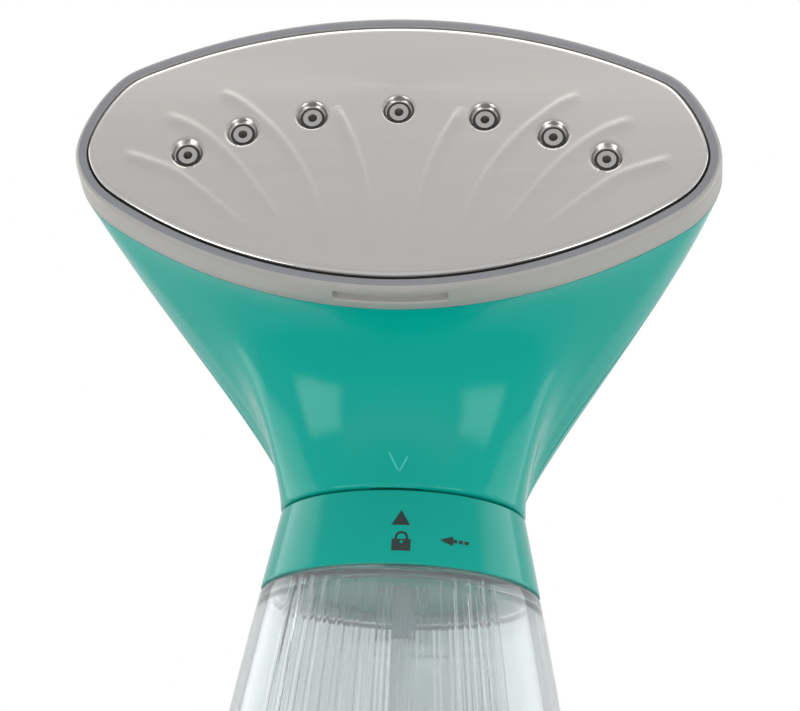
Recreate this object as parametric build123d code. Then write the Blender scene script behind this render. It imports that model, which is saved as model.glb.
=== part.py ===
from build123d import *
import math
import os

# Handheld garment steamer standing on its water tank. Millimetres, +Z up, front towards -Y.
# The origin is the centre of the foot, on the axis shared by the tank, the collar and the neck.

# ---- heights along the tank axis ----
PAD_TOP = 2.2
BASE_TOP = 14.0
BASE_FLOOR = 5.6
TANK_TOP = 105.2
MOUTH_TOP = 111.0
MOUTH_FOOT = 105.6
COUPLING_LOW = 107.4
COUPLING_STEP = 117.5
COLLAR_LOW = 105.8
COLLAR_HIGH = 123.5
SEAM = 124.0

# ---- radii about the tank axis ----
NECK_R = 28.0
COLLAR_TOP_R = 27.9
COLLAR_LOW_R = 31.8
MOUTH_IN_R = 27.2
MOUTH_OUT_R = 28.5
COUPLING_R = 26.8
COUPLING_TOP_R = 24.8
COUPLING_WALL = 2.2
BASE_R = 47.0
TANK_WALL = 1.8
# outer tank wall as (radius, height), from the shoulder down to the foot
TANK_WALL_LINE = [(31.8, TANK_TOP), (37.4, 78), (42.6, 48), (45.6, 16)]

# ---- steam face: a plane that leans back, with its own u (right), v (up), n (out) ----
LEAN = math.radians(10)
FACE_CENTRE = (0, -52.3, 203.6)
FACE = Plane(origin=FACE_CENTRE, x_dir=(1, 0, 0), z_dir=(0, -math.cos(LEAN), math.sin(LEAN)))
# right half of the plate edge, bottom centre to top centre: arc end points and radii
EDGE_POINTS = [(0, -41.5), (62.0, -21.8), (68.9, -10.2), (59.9, 7.1), (0, 21.4)]
EDGE_RADII = [111, 15.5, 34, 132]
EDGE_SAMPLES = [9, 3, 4, 7]
NOZZLES = [(0, 0), (19.15, -1.7), (34.4, -6.0), (46.3, -11.45)]
PLATE_DEPTH = 5.0
PLATE_SHEET = 1.2
SEAL_GAP = 0.6
BEZEL_GROW = 3.0
BEZEL_DEPTH = 9.8
SLOT_HALF_WIDTH = 12.4
SLOT_FRONT = -2.8
SLOT_BACK = -6.5
SLOT_DEPTH = 1.5

# ---- head skin: how each part of the rim sweeps into the neck ----
# rim angle: (back, inward, down) leaving the rim, (up, out) arriving at the neck, neck angle
SKIN_ROWS = {
    0: (15, 0, 0, 16, 0, 0),
    50: (17, 5, 3, 13, 5, 62),
    80: (25, 14, 14, 19, -3, 100),
    105: (39, -1, 21, 20, 5, 124),
    140: (44, 4, 3, 42, 3, 152),
    180: (60, -2, 0, 66, 0, 180),
}
RIM_POLE_V = -10.0
SKIN_WALL = 3.0
SKIN_STEPS = [0, 0.08, 0.2, 0.33, 0.46, 0.6, 0.74, 0.88, 1.0]
PARTING_POINT = (0, 9.7, SEAM)
PARTING_NORMAL = (0, -0.783, -0.622)

# ---- rear handle ----
# centre line as (y, z), from inside the head over and down to the free end
HANDLE_LINE = [(-5, 184), (20, 191), (43, 191), (61, 181), (72, 162), (75.5, 135), (76, 100), (74.5, 64), (71, 30)]
HANDLE_STEPS = [(0, 1), (0.1, 1), (0.2, 1), (0.3, 1), (0.4, 1), (0.5, 1), (0.62, 1), (0.76, 1), (0.9, 0.99),
                (0.97, 0.94), (1.0, 0.8)]
HANDLE_HALF_X = 15.0
HANDLE_HALF_D = 13.5
HANDLE_WALL = 2.4
GRIP_SPLIT = 4.5
SECTION_POWER = 2.6

# ---- controls ----
HANDLE_SCREWS_AT = (0.43, 0.93)
TRIGGER_HALF_X = 10.9
TRIGGER_PIVOT = (67.5, 99.5)
PIN_R = 1.25
TRIGGER_CLEAR = 0.5
BUTTON_AT = 0.335
BUTTON_R = 6.0
LENS_AT = 0.255
SLIDER_LOW = 116.0
SLIDER_HIGH = 130.0
SLIDER_TRAVEL = 8.0
GLAND_Y = 71.0
GLAND_LOW = 22.0
GLAND_BORE = 3.5


# ---------------------------------------------------------------- helpers
def save(name, *shapes):
    """Write one node; several shapes become separate solids of it."""
    solids = [s for shape in shapes for s in shape.solids()]
    body = solids[0] if len(solids) == 1 else Compound(solids)
    export_step(body, f"parts/{name}.step")


def disc(radius, low, high, x=0, y=0):
    """Vertical round bar between two heights."""
    return Pos(x, y, low) * Cylinder(radius, high - low, align=(Align.CENTER, Align.CENTER, Align.MIN))


def block(x_range, y_range, z_range):
    """Box between given coordinates."""
    size = [r[1] - r[0] for r in (x_range, y_range, z_range)]
    return Pos(x_range[0], y_range[0], z_range[0]) * Box(*size, align=(Align.MIN,) * 3)


def turned(points):
    """Solid of revolution about Z from (radius, height) corners."""
    return revolve(Plane.XZ * make_face(Polyline(*points, close=True)), Axis.Z)


def face_bar(radius, low, high, u, v):
    """Round bar standing on the steam face between two depths n."""
    return FACE * Pos(u, v, low) * Cylinder(radius, high - low, align=(Align.CENTER, Align.CENTER, Align.MIN))


def front_edges(shape):
    """Edges of the face that lies furthest out along the steam face's normal."""
    return max(shape.faces(), key=lambda f: f.center().dot(FACE.z_dir)).edges()


def all_nozzles():
    """The seven nozzle places, both sides of the centre one."""
    return NOZZLES + [(-u, v) for u, v in NOZZLES[1:]]


# ---------------------------------------------------------------- steam face outline
def arc_centre(p, q, radius):
    """Centre of the arc from p to q that bulges away from the face centre."""
    mid_u, mid_v = (p[0] + q[0]) / 2, (p[1] + q[1]) / 2
    du, dv = q[0] - p[0], q[1] - p[1]
    chord = math.hypot(du, dv)
    drop = math.sqrt(radius ** 2 - chord ** 2 / 4)
    return mid_u - dv / chord * drop, mid_v + du / chord * drop


def arc_points(p, q, radius, grow, count):
    """Points along an edge arc moved outward by grow, leaving out the last one."""
    cu, cv = arc_centre(p, q, radius)
    start = math.atan2(p[1] - cv, p[0] - cu)
    turn = (math.atan2(q[1] - cv, q[0] - cu) - start) % (2 * math.pi)
    angles = [start + turn * i / count for i in range(count)]
    return [(cu + (radius + grow) * math.cos(a), cv + (radius + grow) * math.sin(a)) for a in angles]


def rim_half(grow):
    """Right half of the rim, bottom centre to top centre, at an outward offset."""
    points = []
    for p, q, radius, count in zip(EDGE_POINTS, EDGE_POINTS[1:], EDGE_RADII, EDGE_SAMPLES):
        points += arc_points(p, q, radius, grow, count)
    points[0] = (0, EDGE_POINTS[0][1] - grow)
    return points + [(0, EDGE_POINTS[-1][1] + grow)]


def edge_arc(p, q, radius):
    """Exact arc of the plate edge from p to q."""
    cu, cv = arc_centre(p, q, radius)
    mu, mv = (p[0] + q[0]) / 2 - cu, (p[1] + q[1]) / 2 - cv
    reach = radius / math.hypot(mu, mv)
    return ThreePointArc(p, (cu + mu * reach, cv + mv * reach), q)


def edge_face(grow=0.0):
    """Flat face bounded by the plate edge, grown or shrunk."""
    right = [edge_arc(p, q, r) for p, q, r in zip(EDGE_POINTS, EDGE_POINTS[1:], EDGE_RADII)]
    left = [mirror(arc, about=Plane.YZ) for arc in right]
    face = make_face(right + left)
    return offset(face, amount=grow, kind=Kind.ARC) if grow else face


def face_slab(grow, low, high):
    """Slab with the plate's outline between two depths n."""
    return FACE * Pos(0, 0, low) * extrude(edge_face(grow), amount=high - low)


# ---------------------------------------------------------------- head skin
def skin_row(angle):
    """Skin controls at any rim angle: smooth curve through the rows."""
    keys = sorted(SKIN_ROWS)
    i = max(k for k in range(len(keys) - 1) if keys[k] <= angle)
    a, b = keys[i], keys[i + 1]
    s = (angle - a) / (b - a)
    values = []
    for c in range(6):
        ya, yb = SKIN_ROWS[a][c], SKIN_ROWS[b][c]
        slope_a = 0 if i == 0 and c < 5 else row_slope(keys, i, c)
        slope_b = 0 if i + 2 == len(keys) and c < 5 else row_slope(keys, i + 1, c)
        values.append(ya * (1 + 2 * s) * (1 - s) ** 2 + yb * s * s * (3 - 2 * s)
                      + (b - a) * (slope_a * s * (1 - s) ** 2 - slope_b * s * s * (1 - s)))
    return values


def row_slope(keys, i, column):
    """Slope of one skin control at key i, from its neighbours."""
    low, high = max(i - 1, 0), min(i + 1, len(keys) - 1)
    rise = SKIN_ROWS[keys[high]][column] - SKIN_ROWS[keys[low]][column]
    return rise / (keys[high] - keys[low])


def skin_points(inset, steps):
    """Rings of points down the head skin; inset moves the whole skin inward."""
    rings = [[] for _ in steps]
    for u, v in rim_half(BEZEL_GROW - inset):
        angle = math.degrees(math.atan2(u, RIM_POLE_V - v)) if u else (0 if v < 0 else 180)
        back, inward, down, up, out, neck = skin_row(angle)
        reach = math.hypot(u, v - RIM_POLE_V)
        rim = FACE.from_local_coords(Vector(u, v, -BEZEL_DEPTH))
        leave = FACE.from_local_coords(Vector(u - u / reach * inward, v - (v - RIM_POLE_V) / reach * inward - down,
                                              -BEZEL_DEPTH - back))
        side = Vector(math.sin(math.radians(neck)), -math.cos(math.radians(neck)), 0)
        foot = side * (NECK_R - inset) + Vector(0, 0, SEAM)
        arrive = foot + side * out + Vector(0, 0, up)
        for ring, t in zip(rings, steps):
            w = 1 - t
            ring.append(rim * w ** 3 + leave * (3 * w * w * t) + arrive * (3 * w * t * t) + foot * t ** 3)
    return rings


def ring_wire(ring):
    """Closed wire through a ring: right and left halves that meet square to the middle plane."""
    left = [Vector(-p.X, p.Y, p.Z) for p in reversed(ring)]
    right_half = Spline(*ring, tangents=[(1, 0, 0), (-1, 0, 0)])
    left_half = Spline(*left, tangents=[(-1, 0, 0), (1, 0, 0)])
    return Wire([right_half.edge(), left_half.edge()])


def skin_solid(inset, over):
    """Closed solid inside the head skin; over lengthens both ends straight out."""
    rings = skin_points(inset, SKIN_STEPS)
    rings[0] = [p + FACE.z_dir * over for p in rings[0]]
    rings[-1] = [p - Vector(0, 0, over) for p in rings[-1]]
    return Part(Solid.make_loft([ring_wire(ring) for ring in rings]).wrapped)


# ---------------------------------------------------------------- head
def head_skin():
    """Both housings in one: the outer skin less its inside."""
    return skin_solid(0, 0) - skin_solid(SKIN_WALL, 2)


def neck_mark():
    """Cutter for the V mark on the front of the neck."""
    outer = Polyline((-2.5, SEAM + 7.9), (0, SEAM + 3.2), (2.5, SEAM + 7.9))
    strip = trace(outer, line_width=0.45)
    return Pos(1.0, 0, 0) * Plane.XZ * Pos(0, 0, NECK_R - 0.15) * extrude(strip, amount=6)


def head_housings():
    """Front and rear housing, split along the flanks."""
    parting = Plane(origin=PARTING_POINT, x_dir=(1, 0, 0), z_dir=PARTING_NORMAL)
    skin = head_skin()
    front = split(skin, bisect_by=parting, keep=Keep.TOP) - neck_mark()
    rear = split(skin, bisect_by=parting, keep=Keep.BOTTOM)
    rear -= Pos(0, 20, 188) * Rot(90, 0, 0) * Cylinder(7, 40)
    return front, rear


def bezel():
    """Rim round the plate: ring with a bevelled front, a back flange and the brush slot."""
    outer = face_slab(BEZEL_GROW, -BEZEL_DEPTH, 0)
    outer = chamfer(front_edges(outer), 0.7)
    ring = outer - face_slab(SEAL_GAP, -BEZEL_DEPTH - 1, 1)
    flange = face_slab(BEZEL_GROW - 1, -BEZEL_DEPTH, -BEZEL_DEPTH + 2) - face_slab(-4, -BEZEL_DEPTH - 1, 1)
    return ring + flange - brush_slot()


def brush_slot():
    """Cutter for the shallow slot in the underside of the rim."""
    rim_skin = face_slab(BEZEL_GROW + 1, SLOT_BACK, SLOT_FRONT) - face_slab(BEZEL_GROW - SLOT_DEPTH, -20, 1)
    return rim_skin & FACE * Pos(0, -45, 0) * Box(2 * SLOT_HALF_WIDTH, 20, 30)


def steam_plate():
    """Pressed tray: front sheet with a turned-back edge and seven holes."""
    tray = face_slab(0, -PLATE_DEPTH, 0)
    tray = fillet(front_edges(tray), 0.9)
    tray -= face_slab(-PLATE_SHEET, -PLATE_DEPTH - 1, -PLATE_SHEET)
    for u, v in all_nozzles():
        tray -= face_bar(2.75, -PLATE_DEPTH, 1, u, v)
    return tray


def plate_seal():
    """Thin seal in the gap between plate and bezel."""
    return face_slab(SEAL_GAP, -6, -0.6) - face_slab(0, -7, 1)


def nozzle_inserts():
    """Seven hollow inserts from the chamber floor to just under the plate's face."""
    return [face_bar(2.1, -8.5, -0.4, u, v) - face_bar(1.0, -9, 1, u, v) for u, v in all_nozzles()]


def nozzle_rings():
    """Seven seals round the inserts."""
    return [face_bar(2.7, -2.0, -0.6, u, v) - face_bar(2.1, -3, 1, u, v) for u, v in all_nozzles()]


CHAMBER_SHRINK = -10.0
CHAMBER_BACK = -15.0
COVER_BACK = -17.5
INLET_V = -10.0


def steam_chamber():
    """Cast tray behind the plate, open at the back, with a maze rib and seven ports."""
    cast = face_slab(CHAMBER_SHRINK, CHAMBER_BACK, -5.3)
    cast -= face_slab(CHAMBER_SHRINK - 2.5, CHAMBER_BACK - 1, -8)
    for side in (-1, 1):
        rib = Pos(side * 16, -12, CHAMBER_BACK) * Box(24, 1.6, 7.2, align=(Align.CENTER, Align.CENTER, Align.MIN))
        cast += FACE * rib
    for u, v in cover_screw_places():
        cast += face_bar(3.4, CHAMBER_BACK, -8, u, v)
        cast -= face_bar(1.45, CHAMBER_BACK - 1, -11, u, v)
    for u, v in all_nozzles():
        cast -= face_bar(2.1, -9, -5, u, v)
    return cast


def chamber_cover():
    """Flat lid of the chamber with its water inlet."""
    lid = face_slab(CHAMBER_SHRINK, COVER_BACK, CHAMBER_BACK)
    lid += face_bar(2.6, COVER_BACK - 7, COVER_BACK, 0, INLET_V)
    lid -= face_bar(1.5, COVER_BACK - 8, CHAMBER_BACK + 1, 0, INLET_V)
    for u, v in cover_screw_places():
        lid -= face_bar(1.5, COVER_BACK - 1, CHAMBER_BACK + 1, u, v)
    return lid


def cover_screw_places():
    """Four screws at the corners of the lid."""
    return [(-46, 0), (46, 0), (-34, -22), (34, -22)]


def cover_screws():
    """Pan-head screws into the chamber casting."""
    screws = []
    for u, v in cover_screw_places():
        screw = face_bar(2.8, COVER_BACK - 1.8, COVER_BACK, u, v) + face_bar(1.45, COVER_BACK, -11, u, v)
        screw -= FACE * Pos(u, v, COVER_BACK - 1.8) * Box(3.6, 0.8, 1.4)
        screws.append(screw)
    return screws


def heating_element():
    """Sheathed heater bent into a U on the chamber lid."""
    depth = COVER_BACK - 3.3
    legs = [(-40, 4), (33, 4), (33, -21.5), (-30, -21.5)]
    path = FilletPolyline(*legs, radius=10)
    start = Plane(origin=(-40, 4, 0), z_dir=(1, 0, 0))
    return FACE * Pos(0, 0, depth) * sweep(start * Circle(3.2), path=path)


def thermostat():
    """Disc thermostat with two blade terminals."""
    base = COVER_BACK
    body = face_bar(6.5, base - 6, base, -14, -8) + face_bar(8.0, base - 1.2, base, -14, -8)
    for side in (-1, 1):
        body += FACE * Pos(-14 + side * 3.4, -8, base - 10) * Box(3.2, 0.8, 8)
    return body


def thermal_fuse():
    """Cut-out fuse in its sleeve, lying along the lid."""
    axis = Pos(16, -8, COVER_BACK - 2.3) * Rot(0, 90, 0)
    return FACE * axis * (Cylinder(2.2, 12) + Cylinder(0.5, 20))


# ---------------------------------------------------------------- water path
PUMP_Y = 4.0
PUMP_LOW = 130.0
PUMP_TOP = 164.0
STUB_LOW = 95.2


def pump_body():
    """Vibrating pump: barrel with a hose barb at each end."""
    barrel = disc(8.0, PUMP_LOW, PUMP_TOP, y=PUMP_Y)
    barbs = disc(2.2, PUMP_LOW - 5, PUMP_TOP + 5, y=PUMP_Y)
    return barrel + barbs - disc(1.0, PUMP_LOW - 6, PUMP_TOP + 6, y=PUMP_Y)


def pump_coil():
    """Coil block with its steel yoke round the barrel."""
    coil = block((-12, 12), (PUMP_Y - 11, PUMP_Y + 11), (137, 159))
    return coil - disc(8.05, 130, 170, y=PUMP_Y)


def inlet_hose():
    """Short hose from the coupling spigot to the pump."""
    path = FilletPolyline((0, 0, 121.2), (0, 0, 124.6), (0, PUMP_Y, 126.4), (0, PUMP_Y, 129.8), radius=2)
    tube = sweep(Pos(0, 0, 121.2) * Circle(3.3), path=path)
    hole = disc(2.2, 124, PUMP_LOW, y=PUMP_Y) + disc(1.6, 121, 125)
    return tube - hole


def outlet_hose():
    """Hose from the pump to the inlet of the chamber lid."""
    end = FACE.from_local_coords(Vector(0, INLET_V, COVER_BACK - 0.3))
    slope = math.tan(LEAN)
    bend = (0, PUMP_Y, end.Z - slope * (PUMP_Y - end.Y))
    start = (0, PUMP_Y, PUMP_TOP + 0.2)
    path = FilletPolyline(start, bend, (end.X, end.Y, end.Z), radius=10)
    tube = sweep(Pos(*start) * Circle(3.6), path=path)
    tube -= disc(2.2, PUMP_TOP, PUMP_TOP + 5, y=PUMP_Y)
    return tube - face_bar(2.6, COVER_BACK - 7, COVER_BACK, 0, INLET_V)


def tank_coupling():
    """Stopper under the neck that closes the tank mouth, hollow from above, with a seal groove."""
    cup = disc(COUPLING_R, COUPLING_LOW, COUPLING_STEP) + disc(COUPLING_TOP_R, COUPLING_STEP, 123.6)
    cup += disc(COUPLING_TOP_R - 1.2, 123.6, 127)
    cup -= disc(COUPLING_R - COUPLING_WALL, COUPLING_LOW + 4.1, COUPLING_STEP - 2)
    cup -= disc(COUPLING_TOP_R - COUPLING_WALL, COUPLING_STEP - 3, 129)
    cup -= disc(4.0, COUPLING_LOW - 1, 122)
    return cup - seal_ring(COUPLING_R + 1, 0.8, 2.8)


def coupling_seal():
    """Rubber ring in the stopper's groove."""
    return seal_ring(COUPLING_R + 0.1, 0.9, 2.7)


def seal_ring(radius, low, high):
    """Ring in the stopper's wall, at heights above its underside."""
    return disc(radius, COUPLING_LOW + low, COUPLING_LOW + high) - disc(COUPLING_R - 1.4, 100, 120)


def intake_stub():
    """Water intake under the coupling, with the spigot for the hose above."""
    stub = disc(3.9, STUB_LOW, 121.0) + disc(1.6, 120, 124.5)
    return stub - disc(0.9, 91, 125) - disc(2.4, 91, STUB_LOW + 6)


def dip_tube():
    """Clear tube from the intake to the floor of the tank."""
    return disc(2.4, 17, STUB_LOW + 5.8) - disc(1.5, 16, 110)


def intake_filter():
    """Weighted filter on the end of the tube, with slots round it."""
    body = turned([(1.0, 9.5), (5.5, 9.5), (5.5, 16.0), (3.6, 19.5), (2.45, 19.5), (2.45, 16.8), (1.0, 16.8)])
    for i in range(6):
        body -= Rot(0, 0, 60 * i) * Pos(5.2, 0, 12.6) * Box(1.4, 1.6, 4.4)
    return body


# ---------------------------------------------------------------- collar and tank
def collar_radius(height):
    """Outer radius of the collar cone."""
    slope = (COLLAR_LOW_R - COLLAR_TOP_R) / (COLLAR_HIGH - COLLAR_LOW)
    return COLLAR_TOP_R + slope * (COLLAR_HIGH - height)


def lock_collar():
    """Twist collar: thin cone with a top lip and three inner lugs."""
    wall = 1.7
    lip = 121.8
    ring = turned([
        (collar_radius(COLLAR_LOW) - wall, COLLAR_LOW), (collar_radius(COLLAR_LOW) - 0.2, COLLAR_LOW),
        (collar_radius(COLLAR_LOW + 0.4), COLLAR_LOW + 0.4), (collar_radius(COLLAR_HIGH - 0.3), COLLAR_HIGH - 0.3),
        (COLLAR_TOP_R - 0.4, COLLAR_HIGH), (COUPLING_TOP_R + 0.4, COLLAR_HIGH), (COUPLING_TOP_R + 0.4, lip),
        (collar_radius(lip) - wall, lip)])
    lugs = turned([(MOUTH_OUT_R + 0.5, 107.5), (collar_radius(109) - 1.0, 107.5), (collar_radius(109) - 1.0, 109.5),
                   (MOUTH_OUT_R + 0.5, 109.5)])
    for i in range(3):
        wedge = Rot(0, 0, 120 * i) * block((0, 40), (-6, 6), (100, 120))
        ring += lugs & wedge
    return ring


def tank_section():
    """Half section of the clear tank, foot to mouth."""
    outer = Spline(*TANK_WALL_LINE, tangents=[(0.2, -1), (0.02, -1)])
    inner_line = [(r - TANK_WALL, z) for r, z in TANK_WALL_LINE]
    inner_line[0] = (TANK_WALL_LINE[0][0] - TANK_WALL - 0.3, TANK_TOP - 2.0)
    inner = Spline(*inner_line, tangents=[(0.2, -1), (0.02, -1)])
    foot_r = TANK_WALL_LINE[-1][0]
    foot = Polyline((foot_r, 16), (foot_r, 9), (42.0, BASE_FLOOR), (0, BASE_FLOOR), (0, BASE_FLOOR + 2),
                    (41.0, BASE_FLOOR + 2), (foot_r - TANK_WALL, 10), (foot_r - TANK_WALL, 16))
    mouth = Polyline(inner_line[0], (MOUTH_IN_R, MOUTH_FOOT), (MOUTH_IN_R, MOUTH_TOP), (MOUTH_OUT_R, MOUTH_TOP),
                     (MOUTH_OUT_R, TANK_TOP + 1.2), (MOUTH_OUT_R + 1.2, TANK_TOP), TANK_WALL_LINE[0])
    return make_face([outer, foot, inner, mouth])


def tank_shell():
    """Clear tank with a round mouth."""
    return revolve(Plane.XZ * tank_section(), Axis.Z)


def tank_base():
    """Cup round the foot of the tank."""
    return turned([(0, PAD_TOP), (45.0, PAD_TOP), (46.6, 3.2), (BASE_R, 5.0), (46.9, BASE_TOP - 0.5),
                   (46.4, BASE_TOP), (45.75, BASE_TOP), (45.75, 8.8), (42.1, BASE_FLOOR - 0.1), (0, BASE_FLOOR - 0.1)])


def base_pad():
    """Rubber disc under the foot."""
    pad = turned([(0, 0), (43.0, 0), (44.0, 1.0), (44.0, PAD_TOP), (0, PAD_TOP)])
    return pad - (disc(38.0, -1, 0.8) - disc(36.0, -1, 0.8))


# ---------------------------------------------------------------- handle
def handle_path():
    """Centre line of the handle."""
    return Spline(*[(0, y, z) for y, z in HANDLE_LINE])


def handle_frame(path, t):
    """Plane across the handle: x to the right, y towards the inner side, z along it."""
    return Plane(origin=path @ t, x_dir=(1, 0, 0), z_dir=path % t)


def oval(half_x, half_d):
    """Rounded section with flattened sides."""
    points = []
    for i in range(24):
        a = 2 * math.pi * i / 24
        c, s = math.cos(a), math.sin(a)
        x = math.copysign(abs(c) ** (2 / SECTION_POWER), c) * half_x
        y = math.copysign(abs(s) ** (2 / SECTION_POWER), s) * half_d
        points.append((x, y))
    return make_face(Spline(*points, periodic=True))


def handle_solid(path, inset, steps):
    """Closed solid of the handle, or of its inside when inset."""
    sections = []
    for t, scale in steps:
        shape = oval(HANDLE_HALF_X * scale - inset, HANDLE_HALF_D * scale - inset)
        sections.append(handle_frame(path, t) * shape)
    return loft(sections)


def inner_side(path):
    """Region on the tank side of the handle, used to part grip from shell."""
    line = []
    for i in range(1, 20):
        frame = handle_frame(path, i / 20)
        p = frame.origin + frame.y_dir * GRIP_SPLIT
        line.append((p.Y, p.Z))
    first, last = line[0], line[-1]
    lead = [(-20, first[1] - 1.5), *line, (last[0] - 1.5, last[1] - 12), (last[0] - 3.5, 10)]
    edge = Spline(*lead)
    closing = Polyline(lead[-1], (20, 10), (-20, 120), lead[0])
    return Plane.YZ * extrude(make_face([edge, closing]), amount=40, both=True)


def handle_parts(head_outer):
    """Teal outer shell and pale inner grip, hollow, with their openings."""
    path = handle_path()
    hollow_steps = [(t, s) for t, s in HANDLE_STEPS if t < 0.95] + [(0.975, 0.94)]
    whole = handle_solid(path, 0, HANDLE_STEPS) - handle_solid(path, HANDLE_WALL, hollow_steps)
    whole -= head_outer
    side = inner_side(path)
    grip = whole & side
    shell = whole - side
    return biggest(grip), biggest(shell)


def biggest(shape):
    """Largest solid of a shape."""
    return Part(max(shape.solids(), key=lambda s: s.volume).wrapped)


def trigger_slot():
    """Window in the grip for the trigger."""
    return block((-TRIGGER_HALF_X - TRIGGER_CLEAR, TRIGGER_HALF_X + TRIGGER_CLEAR), (40, 72), (68.5, 105.5))


def trigger_pin_bar(radius, half):
    """Bar across the handle at the trigger pivot."""
    return Pos(0, *TRIGGER_PIVOT) * Rot(0, 90, 0) * Cylinder(radius, 2 * half)


def trigger():
    """Curved finger lever with a boss on its pin."""
    front = Spline((61.6, 104.6), (57.6, 96), (56.6, 84), (59.6, 70.2))
    back = Polyline((59.6, 70.2), (63.5, 69.4), (66.0, 78), (66.5, 93), (70.5, 95.5), (70.5, 102.5), (66.5, 105.0),
                    (61.6, 104.6))
    lever = extrude(Plane.YZ * make_face([front, back]), amount=TRIGGER_HALF_X, both=True)
    hollow = block((-TRIGGER_HALF_X + 1.8, TRIGGER_HALF_X - 1.8), (62.5, 75), (72, 94.0))
    lever -= hollow + block((-3.3, 3.3), (64.2, 75), (96.2, 102.8))
    lever = fillet(lever.edges().filter_by(lambda e: e.center().Y < 59 and abs(e.center().X) > 5), 1.6)
    return lever - trigger_pin_bar(PIN_R + 0.05, 20)


def trigger_spring():
    """Torsion spring coiled round the pin beside the lever's boss."""
    coil = Helix(pitch=1.0, height=5.0, radius=2.3)
    wire = sweep(Plane(origin=coil @ 0, z_dir=coil % 0) * Circle(0.35), path=coil)
    return Pos(-2.5, *TRIGGER_PIVOT) * Rot(0, 90, 0) * wire


def microswitch():
    """Switch body behind the trigger, with its plunger and tabs."""
    body = block((-5.0, 5.0), (72.0, 80.0), (76, 92)) + block((-1.5, 1.5), (70.6, 72.0), (79, 82))
    for z in (78, 84, 90):
        body += block((-2, 2), (80.0, 84.0), (z - 0.4, z + 0.4))
    return body


def circuit_board():
    """Control board with a relay, a capacitor and a button switch on it."""
    board = block((-8, 8), (78.0, 79.6), (104, 142))
    board += block((-6, 3), (72.0, 78.0), (106, 118))
    board += disc(3.0, 122, 132, x=3, y=75.4)
    return board


def button_frame():
    """Plane on the outer side of the handle where the power button sits."""
    frame = handle_frame(handle_path(), BUTTON_AT)
    out = frame.y_dir * -1
    return Plane(origin=frame.origin + out * HANDLE_HALF_D, x_dir=(1, 0, 0), z_dir=out)


def on_button(radius, low, high):
    """Round bar along the button axis."""
    return button_frame() * Pos(0, 0, low) * Cylinder(radius, high - low, align=(Align.CENTER, Align.CENTER, Align.MIN))


def power_button():
    """Round push button with a dished top and a stem."""
    cap = on_button(BUTTON_R, -3.6, 1.4)
    cap = fillet(cap.edges().sort_by(lambda e: (e.center() - button_frame().origin).dot(button_frame().z_dir))[-1:], 0.8)
    stem = on_button(2.0, -5.2, -3.6)
    bowl = button_frame() * Pos(0, 0, 20.6) * Sphere(19.6)
    return cap + stem - bowl


def button_dome():
    """Rubber dome that pushes the button back, on its small carrier."""
    return on_button(4.0, -9.6, -8.2) + on_button(2.6, -8.2, -6.6)


def lens_frame():
    """Plane on the outer side of the handle where the lamp lens sits."""
    frame = handle_frame(handle_path(), LENS_AT)
    out = frame.y_dir * -1
    return Plane(origin=frame.origin + out * HANDLE_HALF_D, x_dir=(1, 0, 0), z_dir=out)


def indicator_lens():
    """Small domed lamp lens."""
    lens = lens_frame() * Pos(0, 0, -3) * Cylinder(1.9, 3.2, align=(Align.CENTER, Align.CENTER, Align.MIN))
    return lens + (lens_frame() * Pos(0, 0, -1.2) * Sphere(1.9)) - lens_frame() * Pos(0, 0, 2.6) * Box(9, 9, 4)


SLIDER_HALF_X = 4.6


def slider_recess():
    """Flat pocket and slot in the outer shell for the steam lock."""
    pocket = block((-SLIDER_HALF_X - 0.6, SLIDER_HALF_X + 0.6), (87.6, 95),
                   (SLIDER_LOW - 1.5, SLIDER_HIGH + SLIDER_TRAVEL + 1.5))
    slot = block((-2.2, 2.2), (80, 90), (119, 136))
    return pocket + slot


def steam_lock_slider():
    """Ribbed thumb slider with a stem through the slot."""
    pad = block((-SLIDER_HALF_X, SLIDER_HALF_X), (87.9, 90.6), (SLIDER_LOW, SLIDER_HIGH))
    pad = chamfer(pad.faces().sort_by(Axis.Y)[-1].edges(), 0.7)
    for i in range(4):
        z = SLIDER_LOW + 3.4 + 2.4 * i
        pad += block((-3.4, 3.4), (90.4, 91.3), (z - 0.5, z + 0.5))
    return pad + block((-1.7, 1.7), (83.0, 88.0), (120, 126))


def cord_gland():
    """Round cord inlet at the free end of the handle."""
    body = turned([(GLAND_BORE, GLAND_LOW), (6.0, GLAND_LOW), (6.6, 23.0), (7.2, 30.0), (8.4, 30.4), (8.4, 32.2),
                   (5.6, 32.4), (5.6, 36.0), (GLAND_BORE, 36.0)])
    return Pos(0, GLAND_Y, 0) * body


def handle_screws():
    """Screws that join grip to shell, heads recessed in the grip."""
    return [handle_screw(t) for t in HANDLE_SCREWS_AT]


def handle_screw(t):
    """One countersunk screw at a place along the handle, driven from the tank side."""
    frame = handle_frame(handle_path(), t)
    way = Plane(origin=frame.origin + frame.y_dir * HANDLE_HALF_D, x_dir=(1, 0, 0), z_dir=frame.y_dir * -1)
    head = way * Pos(0, 0, 0.6) * Cone(2.8, 1.3, 1.6, align=(Align.CENTER, Align.CENTER, Align.MIN))
    shank = way * Pos(0, 0, 2.2) * Cylinder(1.3, 18, align=(Align.CENTER, Align.CENTER, Align.MIN))
    cross = way * Pos(0, 0, 0.6) * (Box(3.4, 0.7, 1.6) + Box(0.7, 3.4, 1.6))
    return head + shank - cross


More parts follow.
